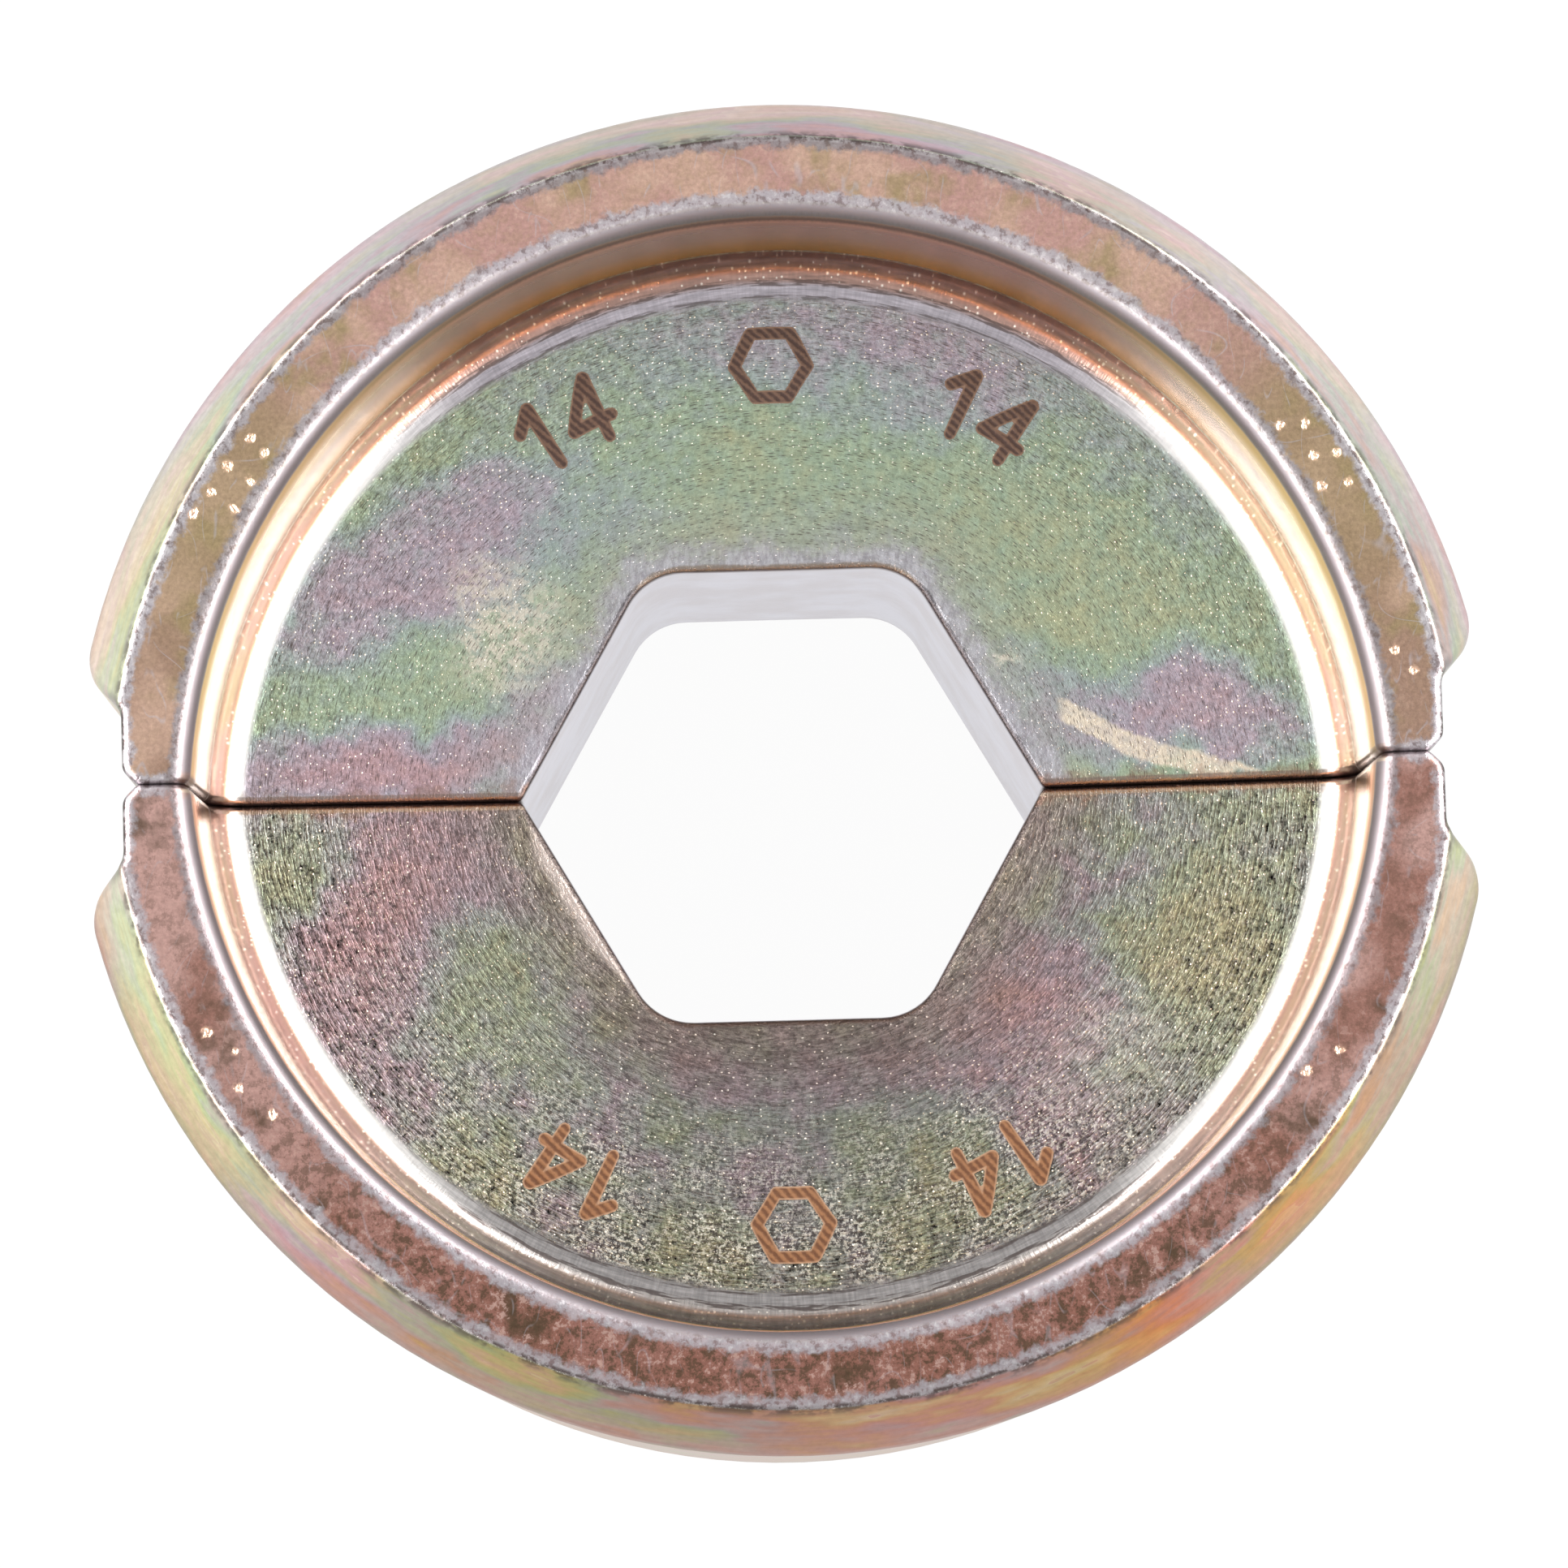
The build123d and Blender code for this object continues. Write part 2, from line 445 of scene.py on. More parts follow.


# plated steel
# Each patch of film is (x, y, half length, half width, turn in degrees, film thickness, strength), in mm.
# Each stain is (x, y, half length, half width, turn in degrees, strength).
# Each dot is (angle in degrees, radius in mm) about the half's own turning axis.
# Cone colours go round the half, from its right end to its left end: film tints, darkened by painted shade
# towards the top of the upper half and the bottom of the lower.
upperLook = {
    "film": 0.74,
    "filmSwing": 0.09,
    "webTone": paint(164, 158, 152),
    "webGrey": 0.50,
    "webLight": 0.92,
    "webMiddle": 1.0,
    "grain": 0.42,
    "lay": 0.16,
    "facets": 0.32,
    "pits": 0.55,
    "crystals": 0.10,
    "patches": [
        (-11.6, 6.6, 5.0, 2.3, 28, 0.49, 0.9),
        (-9.6, 9.4, 3.2, 1.5, 20, 0.52, 0.8),
        (-5.6, 8.6, 2.6, 1.2, 15, 0.62, 0.7),
        (-12.0, 3.6, 4.4, 1.6, 12, 0.76, 0.8),
        (-12.6, 1.1, 4.6, 1.2, 3, 0.42, 0.95),
        (0.5, 14.6, 4.6, 1.8, 0, 0.50, 0.7),
        (6.0, 12.6, 3.0, 1.6, -30, 0.52, 0.6),
        (3.2, 9.8, 5.0, 1.4, 0, 0.74, 0.7),
        (11.2, 8.0, 3.6, 3.4, -40, 0.74, 0.5),
        (12.4, 10.0, 3.6, 1.3, -48, 0.60, 0.6),
        (12.6, 2.6, 4.4, 1.3, -14, 0.45, 0.85),
        (9.6, 5.0, 2.6, 1.4, -30, 0.88, 0.4),
        (9.2, 1.6, 2.4, 0.9, 0, 0.44, 0.5),
        (6.5, 14.0, 3.4, 1.4, -24, 0.50, 0.6),
        (-5.0, 14.2, 3.4, 1.2, 18, 0.60, 0.5),
        (-7.6, 2.6, 2.0, 1.6, 50, 0.36, 0.5),
    ],
    "stains": [
        (-8.7, 5.4, 1.5, 1.8, -30, 0.85),
        (-9.6, 7.0, 0.9, 1.0, 20, 0.5),
        (7.2, 4.2, 0.35, 0.3, 0, 0.8),
    ],
    "crescent": ((9.2, 2.35), (11.8, 1.05), (15.0, 0.35)),    # mm, a curved scrape through three points
    "stainTone": paint(204, 196, 182),
    "scrapeTone": paint(212, 200, 182),
    "rimTone": paint(172, 136, 128),
    "rimWarm": paint(184, 154, 136),
    "rimDark": paint(144, 128, 94),
    "rimPale": paint(196, 172, 152),
    "rimMottle": 0.22,
    "rimDarkShare": 0.45,
    "rimGlareDark": 0.55,
    "rimScratch": 0.4,
    "rimWorn": 0.85,
    "rimLine": 0.2,
    "edgeDull": 0.5,
    "rimEnds": paint(147, 120, 104),
    "wallLight": 1.0,
    "wallEnds": paint(104, 88, 74),
    "wallTopEnds": paint(194, 162, 104),
    "footRing": paint(176, 170, 177),
    "footTone": paint(164, 134, 124),
    "footSides": paint(190, 160, 142),
    "footLine": 0.8,
    "brush": 0.5,
    "partingEdge": paint(112, 98, 92),
    "coneFilm": 0.42,
    "coneTint": (0.86, 0.83, 0.80),
    "coneEdge": paint(224, 204, 208),
    "coneRound": [
        (0.00, paint(212, 206, 188)), (0.10, paint(200, 194, 178)), (0.20, paint(216, 210, 196)),
        (0.28, paint(232, 208, 216)), (0.38, paint(212, 190, 200)), (0.50, paint(192, 174, 174)),
        (0.62, paint(196, 184, 182)), (0.72, paint(214, 202, 202)), (0.82, paint(214, 216, 196)),
        (0.92, paint(230, 224, 192)), (1.00, paint(236, 230, 206)),
    ],
    "hexReach": 0.85,
    "hexWorn": paint(146, 142, 150),
    "hexBrushed": paint(180, 178, 186),
    "chamfer": 0.0,
    "chamferTone": paint(206, 200, 200),
    "lipWide": 0.15,
    "lipSides": paint(66, 62, 64),
    "lipTop": paint(124, 114, 104),
    "dots": [
        (10.2, 19.8), (12.4, 19.35), (28.0, 20.0), (28.9, 19.2), (30.8, 20.2), (31.7, 19.5),
        (34.5, 19.9), (35.7, 19.2), (144.3, 19.95), (144.7, 19.3), (147.3, 20.05), (147.5, 19.2),
        (150.1, 20.1), (150.5, 19.2), (152.6, 20.25),
    ],
}
lowerLook = {
    "film": 0.66,
    "filmSwing": 0.30,
    # darker than the upper web: partly the lower die's own tone, partly painted shade
    "webTone": paint(128, 114, 106),
    "webGrey": 0.70,
    "webLight": 0.88,
    "webMiddle": 0.80,
    "grain": 0.85,
    "lay": 0.42,
    "facets": 0.34,
    "pits": 0.60,
    "crystals": 0.85,
    "patches": [
        (-12.4, -3.4, 4.6, 2.6, 65, 0.40, 0.95),
        (-15.6, -2.2, 1.4, 0.9, 0, 0.76, 0.8),
        (-9.8, -2.0, 2.6, 1.4, -30, 0.52, 0.5),
        (-9.4, -6.4, 2.6, 3.0, 40, 0.80, 0.5),
        (11.4, -2.8, 1.8, 0.8, 25, 0.53, 0.95),
        (14.2, -1.3, 3.6, 1.0, 0, 0.70, 0.7),
        (13.4, -5.6, 2.6, 3.6, -25, 0.82, 0.9),
        (8.4, -7.6, 2.4, 2.0, 40, 0.42, 0.5),
        (0.0, -9.0, 6.4, 1.5, 0, 0.36, 0.4),
        (2.4, -11.6, 5.0, 1.8, 0, 0.74, 0.25),
        (11.0, -11.0, 2.6, 3.4, -45, 0.46, 0.35),
    ],
    "stains": [(10.2, -8.4, 2.2, 1.6, 40, 0.25)],
    "stainTone": paint(196, 192, 180),
    "rimTone": paint(138, 98, 88),
    "rimWarm": paint(128, 88, 76),
    "rimDark": paint(78, 64, 50),
    "rimPale": paint(172, 142, 132),
    "rimMottle": 0.8,
    "rimDarkShare": 0.35,
    "rimGlareDark": 0.0,
    "rimScratch": 0.25,
    "rimWorn": 0.75,
    "rimLine": 0.15,
    "edgeDull": 0.15,
    "rimEnds": paint(172, 138, 130),
    "wallLight": 1.8,
    "wallEnds": paint(102, 82, 66),
    "wallTopEnds": paint(188, 146, 118),
    "footRing": paint(156, 152, 151),
    "footTone": paint(176, 170, 166),
    "footSides": paint(190, 158, 146),
    "footLine": 0.9,
    "brush": 0.8,
    "partingEdge": paint(150, 136, 122),
    "coneFilm": 0.42,
    "coneTint": (0.90, 0.85, 0.72),
    "coneEdge": paint(186, 158, 150),
    "coneRound": [
        (0.00, paint(226, 220, 204)), (0.08, paint(218, 214, 190)), (0.16, paint(186, 172, 138)),
        (0.21, paint(204, 164, 124)), (0.26, paint(208, 132, 84)), (0.31, paint(202, 132, 86)),
        (0.34, paint(168, 144, 112)), (0.42, paint(172, 138, 136)), (0.50, paint(160, 140, 126)),
        (0.58, paint(166, 138, 118)), (0.66, paint(172, 154, 116)), (0.75, paint(196, 160, 184)),
        (0.84, paint(210, 214, 182)), (0.92, paint(228, 226, 208)), (1.00, paint(234, 230, 218)),
    ],
    "hexReach": -0.6,
    "hexWorn": paint(130, 120, 118),
    "hexBrushed": paint(160, 150, 148),
    "chamfer": 0.5,
    "chamferTone": paint(186, 174, 168),
    "lipWide": 0.12,
    "lipSides": paint(84, 76, 74),
    "lipTop": paint(96, 82, 76),
    "dots": [(206.0, 19.9), (208.8, 19.4), (211.6, 19.9), (215.4, 19.5), (325.6, 19.1), (328.8, 19.6)],
}
finish = {
    "wornSteel": paint(168, 164, 170),
    "brightWorn": paint(228, 226, 228),
    "darkEdge": paint(122, 114, 118),
    "facetTone": paint(255, 250, 238),
    # dark pits and tool lines, also the colour of the painted shade on edges and dots
    "pitTone": paint(74, 64, 62),
    "rust": paint(128, 98, 82),
    "dotTone": paint(236, 196, 168),    "hexWallTone": paint(214, 213, 222),
    "hexWallPale": paint(204, 200, 206),
    "hexMouth": paint(110, 96, 76),
    "crystalPale": paint(206, 204, 194),
    "crystalDark": paint(72, 68, 68),
    "gapTone": paint(84, 66, 62),
    "footEnds": paint(255, 252, 248),
}
# height above the middle plane in mm and colour, from the recess floor up to the rim
wallBands = [
    (8.3, paint(208, 172, 142)), (8.8, paint(208, 168, 84)), (9.5, paint(200, 158, 56)),
    (10.3, paint(192, 146, 70)), (11.4, paint(186, 140, 104)), (13.3, paint(190, 140, 122)),
    # the dark bands at 13.7 and 13.95 mm, just under the rim's inner rounding, are painted shade
    (13.7, paint(112, 84, 74)), (13.95, paint(112, 88, 78)), (14.1, paint(140, 112, 96)),
    (14.3, paint(124, 116, 116)), (14.6, paint(140, 134, 138)),
]
wallLow, wallTall = 8.0, 7.0     # mm, the height where the colours of the bands start and how far they go


def scale3(t, place, x, y, z):
    node = put(t, "ShaderNodeVectorMath", operation="MULTIPLY")
    feed(t, node.inputs[0], place)
    node.inputs[1].default_value = (x, y, z)
    return node.outputs[0]


def spotMask(t, place, x, y, long, wide, turn, soft):
    size = (long, wide, 1.0)
    return use(t, softSpot, Place=place, Centre=(x, y, 0.0), Size=size, Turn=float(turn), Soft=soft)["Mask"]


def swing(t, value, amount, base=1.0):
    # a 0 to 1 noise as base plus or minus half the amount
    return calc(t, "MULTIPLY_ADD", minus(t, value, 0.5), amount, base)


def steelShader(t, colour, roughness, rise):
    # one finish of bare or filmed metal; rise is its relief in mm
    shader = put(t, "ShaderNodeBsdfPrincipled")
    shader.inputs["Metallic"].default_value = 1.0
    feed(t, shader.inputs["Base Color"], colour)
    feed(t, shader.inputs["Roughness"], roughness)
    bump = put(t, "ShaderNodeBump")
    bump.inputs["Strength"].default_value = 1.0
    bump.inputs["Distance"].default_value = mm
    feed(t, bump.inputs["Height"], rise)
    feed(t, shader.inputs["Normal"], bump.outputs[0])
    return shader.outputs[0]


def mixShaders(t, mask, a, b):
    node = put(t, "ShaderNodeMixShader")
    feed(t, node.inputs[0], mask)
    feed(t, node.inputs[1], a)
    feed(t, node.inputs[2], b)
    return node.outputs[0]


def partingWear(t, colour, at, parting, edge):
    # rust that creeps in from the parting line, its pale rounded edge and the dark gap
    creep = plus(t, parting, swing(t, noise(t, at, 1.0, 3.0, 0.65, flat=True), 1.6, 0.0))
    colour = blend(t, span(t, creep, 0.15, 0.5, 0.45, 0.0), colour, finish["rust"])
    colour = blend(t, times(t, band(t, parting, 0.16, 0.25, 0.05), 0.7), colour, edge)
    return blend(t, span(t, parting, 0.10, 0.20, 0.9, 0.0), colour, finish["gapTone"])


def flatAxes(t, place):
    # x and y of a place
    node = put(t, "ShaderNodeSeparateXYZ")
    feed(t, node.inputs[0], place)
    return node.outputs[0], node.outputs[1]


def addScrape(t, web, at, crust, look):
    # a curved scrape: how far y lies from the parabola through three points, narrowing to its far end
    (ax, ay), (bx, by), (cx, cy) = look["crescent"]
    bend = ((cy - ay) / (cx - ax) - (by - ay) / (bx - ax)) / (cx - bx)
    slope = (by - ay) / (bx - ax) - bend * (bx + ax)
    level = ay - slope * ax - bend * ax * ax
    px, py = flatAxes(t, use(t, wanderPlace, Millimetres=at, Scale=1.1, Reach=0.45)["Place"])
    curve = calc(t, "MULTIPLY_ADD", calc(t, "MULTIPLY_ADD", px, bend, slope), px, level)
    off = calc(t, "ABSOLUTE", minus(t, py, curve))
    half = span(t, px, cx - 1.5, cx, 0.36, 0.05)
    inside = times(t, span(t, minus(t, off, half), -0.08, 0.10, 1.0, 0.0), band(t, px, ax, cx, 0.4))
    return blend(t, times(t, inside, swing(t, crust, 0.3, 0.8)), web, look["scrapeTone"])


def webShader(t, zones, look):
    at, around, radius = zones["Millimetres"], zones["Around"], zones["Radius"]
    hexDistance = zones["Hex Distance"]
    # film thickness, patch by patch
    drifting = use(t, wanderPlace, Millimetres=at, Scale=0.36, Reach=2.8)["Place"]
    film = swing(t, noise(t, at, 0.2, 3.0, 0.6, flat=True), 2.6 * look["filmSwing"], look["film"])
    for x, y, long, wide, turn, thickness, strength in look["patches"]:
        mask = times(t, spotMask(t, drifting, x, y, long, wide, turn, 0.75), strength)
        film = blendValue(t, mask, film, thickness)
    film = plus(t, film, swing(t, noise(t, at, 1.6, 2.0, 0.6, flat=True), 0.14, 0.0))
    greyer = plus(t, span(t, hexDistance, 7.4, 10.5, 0.22, 0.0), look["webGrey"])
    web = blend(t, greyer, use(t, filmTint, Thickness=film)["Color"], look["webTone"])

    # grain, stains, pits and facets
    stretch = scale3(t, around, 11.0, 1.5, 0.0)
    grain = use(t, platingGrain, Millimetres=at, Stretch=stretch, Fine=7.5, Facets=look["facets"],
                Pits=look["pits"], Lay=look["lay"])
    toFoot = span(t, radius, 11.0, 16.5, 0.45, 1.0)
    # painted shade: the web is made darker towards the top and bottom of the die than at its sides
    middleShade = span(t, zones["Sides"], 0.25, 0.75, look["webMiddle"], 1.0)
    shade = calc(t, "MULTIPLY_ADD", times(t, grain["Light"], toFoot), 2.0 * look["grain"], look["webLight"])
    web = blend(t, 1.0, web, times(t, shade, middleShade), "MULTIPLY")
    # coarser bright and dark crystals, strongest beside the foot
    crystal = noise(t, at, 6.5, 4.0, 0.85, flat=True)
    across = span(t, zones["Sides"], 0.40, 0.95, 1.0, 0.35)
    clumps = span(t, noise(t, at, 0.6, 4.0, 0.65, flat=True), 0.40, 0.60, 0.35, 1.25)
    crystals = times(t, times(t, span(t, radius, 9.5, 15.5), across), times(t, clumps, look["crystals"]))
    pale = times(t, span(t, crystal, 0.51, 0.57), times(t, crystals, 0.75))
    web = blend(t, pale, web, finish["crystalPale"])
    dark = times(t, span(t, crystal, 0.49, 0.43), times(t, crystals, 0.8))
    web = blend(t, dark, web, finish["crystalDark"])
    # fine lay lines that follow the turning, darkest near the cavity
    layLines = span(t, noise(t, scale3(t, around, 5.5, 0.22, 0.0), 1.0, 2.0, 0.6, flat=True), 0.50, 0.60)
    layShare = span(t, radius, 8.5, 14.0, look["lay"], 0.0)
    web = blend(t, times(t, layLines, layShare), web, finish["pitTone"])
    crusted = use(t, wanderPlace, Millimetres=at, Scale=1.1, Reach=1.3)["Place"]
    crust = span(t, noise(t, at, 2.6, 3.0, 0.75, flat=True), 0.42, 0.58)
    for x, y, long, wide, turn, strength in look["stains"]:
        speckled = times(t, spotMask(t, crusted, x, y, long, wide, turn, 0.6), swing(t, crust, 0.7, 0.6))
        mask = times(t, speckled, strength)
        web = blend(t, mask, web, look["stainTone"])
    if "crescent" in look:
        web = addScrape(t, web, at, crust, look)
    web = blend(t, times(t, grain["Pit"], 0.7), web, finish["pitTone"])
    # painted glints: the bright facets take a near-white colour
    web = blend(t, times(t, grain["Facet"], span(t, radius, 9.5, 16.0, 0.35, 0.9)), web, finish["facetTone"])

    # bare brushed metal round the cavity, the dark line of its lip, painted shade on the slanted sides, and
    # the chamfer worn on one side
    brush = noise(t, scale3(t, at, 2.2, 0.9, 0.0), 2.6, 3.0, 0.7, flat=True)
    beyond = minus(t, hexDistance, halfFlats)
    ragged = swing(t, noise(t, at, 0.6, 4.0, 0.7, flat=True), 1.9, 0.0)
    wornReach = minus(t, beyond, plus(t, ragged, look["hexReach"]))
    worn = blend(t, span(t, brush, 0.3, 0.7), look["hexWorn"], look["hexBrushed"])
    web = blend(t, span(t, wornReach, -0.6, 0.35, 0.8, 0.0), web, worn)
    taper = times(t, span(t, zones["Parting"], 0.2, 2.0), span(t, zones["Parting"], 4.2, 7.2, 1.0, 0.0))
    chamfer = calc(t, "MULTIPLY_ADD", taper, -look["chamfer"], calc(t, "MULTIPLY_ADD", ragged, 0.2, beyond))
    leftSide = span(t, flatAxes(t, at)[0], -3.6, -3.2, 1.0, 0.0)
    web = blend(t, times(t, span(t, chamfer, -0.25, 0.20, 0.9, 0.0), leftSide), web, look["chamferTone"])
    # painted shade: the lip's line is dark on the hexagon's slanted sides
    onTop = span(t, zones["Parting"], 6.5, 7.0)
    lip = blend(t, onTop, look["lipSides"], look["lipTop"])
    lipEdge = calc(t, "MULTIPLY_ADD", ragged, 0.12, beyond)
    web = blend(t, span(t, lipEdge, look["lipWide"], look["lipWide"] + 0.1, 0.9, 0.0), web, lip)
    web = partingWear(t, web, at, zones["Parting"], look["partingEdge"])
    rise = times(t, grain["Height"], 0.012 * (0.6 + look["grain"]))
    return steelShader(t, web, calc(t, "MULTIPLY_ADD", crystal, 0.2, 0.32), rise)


def recessShader(t, zones, look):
    # foot: a smooth ring with a painted highlight at the sides, a broken dark line and a peach border with
    # brushed streaks; wall: banded by height, with painted shade at the sides
    at, around, radius, height = zones["Millimetres"], zones["Around"], zones["Radius"], zones["Height"]
    streak = noise(t, scale3(t, around, 1.2, 11.0, 1.6), 1.0, 3.0, 0.6)
    thread = noise(t, scale3(t, around, 9.0, 0.9, 0.0), 1.0, 3.0, 0.6, flat=True)
    wobble = swing(t, thread, 0.16, minus(t, radius, span(t, zones["Sides"], 0.4, 0.9, 0.0, 0.2)))
    ends = span(t, zones["Sides"], 0.50, 0.85)
    # painted highlight: the smooth ring turns near white towards the sides
    ring = blend(t, ends, look["footRing"], finish["footEnds"])
    foot = blend(t, span(t, wobble, 17.26, 17.5), ring, blend(t, ends, look["footTone"], look["footSides"]))
    brushed = swing(t, streak, swing(t, ends, -0.7 * look["brush"], 0.65 * look["brush"]))
    foot = blend(t, 1.0, foot, brushed, "MULTIPLY")
    threads = swing(t, thread, span(t, ends, 0.0, 1.0, 0.9, 0.3), 0.92)
    foot = blend(t, 1.0, foot, threads, "MULTIPLY")
    line = calc(t, "MAXIMUM", band(t, wobble, 17.34, 17.50, 0.05), band(t, wobble, 16.90, 17.0, 0.05))
    lineShare = swing(t, ends, -0.9 * look["footLine"], 0.5 * look["footLine"])
    broken = times(t, span(t, thread, 0.42, 0.56), lineShare)
    foot = blend(t, times(t, line, broken), foot, finish["pitTone"])
    # painted glints: sparkling specks on the foot's border
    sparks = pickCells(t, at, 5.0, 0.45, 0.02, 0.3)
    foot = blend(t, times(t, sparks, span(t, radius, 17.4, 17.6, 0.0, 0.7)), foot, finish["facetTone"])
    row = calc(t, "DIVIDE", minus(t, swing(t, streak, 0.3, height), wallLow), wallTall)
    wall = ramp(t, row, [((h - wallLow) / wallTall, colour) for h, colour in wallBands])
    # towards the sides the wall turns gold higher up and darker low down, the darkening painted shade; its
    # top edge is darker there too
    sides = blend(t, span(t, height, 11.4, 12.8), look["wallEnds"], look["wallTopEnds"])
    sideShadeShare = times(t, span(t, zones["Sides"], 0.40, 0.90, 0.0, 0.9), span(t, height, 14.0, 14.3, 1.0, 0.0))
    wall = blend(t, sideShadeShare, wall, sides)
    wall = blend(t, times(t, ends, span(t, height, 14.2, 14.5, 0.0, 0.5)), wall, finish["pitTone"])
    cloud = noise(t, scale3(t, around, 0.3, 0.3, 0.5), 1.0, 3.0, 0.5)
    wallShade = swing(t, cloud, 0.36, span(t, height, 13.2, 13.9, look["wallLight"], 1.0))
    wall = blend(t, 1.0, wall, wallShade, "MULTIPLY")
    colour = partingWear(t, blend(t, zones["Wall"], foot, wall), at, zones["Parting"], look["partingEdge"])
    rise = times(t, streak, blendValue(t, zones["Wall"], 0.008, 0.0015))
    # duller towards the rim, which keeps its inner rounding soft
    return steelShader(t, colour, span(t, height, 12.6, 13.8, 0.27, 0.52), rise)


def rimShader(t, zones, look):
    # patina with dark patches, pale scratches, worn borders and punched dots, with painted highlight and
    # painted shade on the edges and the dots
    at, radius, rimDepth = zones["Millimetres"], zones["Radius"], zones["Rim Depth"]
    ends = span(t, zones["Sides"], 0.55, 0.95)
    rim = blend(t, ends, look["rimTone"], look["rimEnds"])
    cloud = noise(t, at, 0.42, 3.0, 0.65, flat=True)
    warm = noise(t, at, 0.3, 2.0, 0.5, flat=True)
    rim = blend(t, span(t, warm, 0.46, 0.66, 0.0, 0.75), rim, look["rimWarm"])
    rim = blend(t, span(t, cloud, 0.62 - 0.22 * look["rimDarkShare"], 0.74, 0.0, 0.8), rim, look["rimDark"])
    mottle = noise(t, at, 1.7, 5.0, 0.8, flat=True)
    mottled = swing(t, ends, -0.6 * look["rimMottle"], 0.7 * look["rimMottle"])
    rim = blend(t, times(t, span(t, mottle, 0.47, 0.60), mottled), rim, look["rimDark"])
    rim = blend(t, times(t, span(t, mottle, 0.44, 0.36), mottled), rim, look["rimPale"])
    # darker where the lamp beside the die glares on the face
    glare = times(t, band(t, zones["Sides"], 0.80, 0.91, 0.08), look["rimGlareDark"])
    rim = blend(t, glare, rim, look["rimDark"])
    grain = noise(t, at, 7.0, 3.0, 0.65)
    rim = blend(t, 1.0, rim, swing(t, grain, 0.55), "MULTIPLY")
    longOnes = use(t, handlingScratches, Place=at, Scale=0.3, Thin=0.008)["Mask"]
    squashed = scale3(t, at, 1.0, 0.35, 1.0)
    shortOnes = use(t, handlingScratches, Place=squashed, Scale=1.1, Thin=0.018)["Mask"]
    scratches = calc(t, "MAXIMUM", longOnes, shortOnes)
    rim = blend(t, times(t, scratches, look["rimScratch"]), rim, finish["wornSteel"])
    # worn borders: fine flakes along both edges and the parting face, dark specks inside them
    blotch = noise(t, at, 1.5, 4.0, 0.72, flat=True)
    ragged = swing(t, blotch, 0.7, 0.0)
    inner = minus(t, radius, 18.96)
    outer = minus(t, rimDepth, 0.34)
    border = calc(t, "MINIMUM", calc(t, "MINIMUM", inner, outer), minus(t, zones["Parting"], 0.30))
    border = plus(t, border, ragged)
    speck = noise(t, scale3(t, at, 1.0, 1.0, 0.0), 3.4, 3.0, 0.7, flat=True)
    worn = blend(t, span(t, speck, 0.32, 0.52), finish["darkEdge"], finish["wornSteel"])
    worn = blend(t, span(t, speck, 0.56, 0.70, 0.0, 0.35), worn, finish["brightWorn"])
    # painted shade: the worn border is darker near the outer rounding, away from the sides
    dullShade = times(t, span(t, rimDepth, 0.5, 0.7, look["edgeDull"], 0.0), minus(t, 1.0, ends))
    worn = blend(t, dullShade, worn, finish["pitTone"])
    # darker at the inner edge towards the sides
    worn = blend(t, times(t, span(t, inner, 0.0, 0.2, 0.45, 0.0), ends), worn, finish["pitTone"])
    rim = blend(t, span(t, border, -0.10, 0.12, look["rimWorn"], 0.0), rim, worn)
    # a bright line along the outer rounding: partly worn steel, partly painted highlight, stronger towards
    # the sides
    line = times(t, band(t, rimDepth, 0.02, 0.12, 0.08), span(t, speck, 0.38, 0.52))
    lineShare = times(t, line, calc(t, "MULTIPLY_ADD", ends, 0.15, look["rimLine"]))
    rim = blend(t, lineShare, rim, finish["brightWorn"])
    # the outer edge darkened in blotches: partly rubbed, partly painted shade of the rounding
    rubbedAndShaded = times(t, span(t, rimDepth, 0.20, 0.05), span(t, blotch, 0.44, 0.56, 0.35, 0.95))
    rim = blend(t, rubbedAndShaded, rim, finish["pitTone"])

    # distance from the nearest dot
    dotPlace = use(t, wanderPlace, Millimetres=at, Scale=3.2, Reach=0.32)["Place"]
    reach = None
    for angle, radial in look["dots"]:
        turn = radians(angle)
        shift = setback if angle < 180 else -setback
        away = put(t, "ShaderNodeVectorMath", operation="DISTANCE")
        feed(t, away.inputs[0], dotPlace)
        away.inputs[1].default_value = (radial * cos(turn), radial * sin(turn) - shift, 0)
        here = away.outputs["Value"]
        reach = here if reach is None else calc(t, "MINIMUM", reach, here)
    # painted highlight: a pale ring round each dot; painted shade: its dark core
    rim = blend(t, span(t, reach, 0.06, 0.22, 0.7, 0.0), rim, finish["dotTone"])
    rim = blend(t, span(t, reach, 0.02, 0.06, 0.45, 0.0), rim, finish["pitTone"])
    rise = minus(t, times(t, grain, 0.014), times(t, span(t, reach, 0.0, 0.17, 1.0, 0.0), 0.06))
    return steelShader(t, rim, swing(t, grain, 0.15, 0.38), rise)


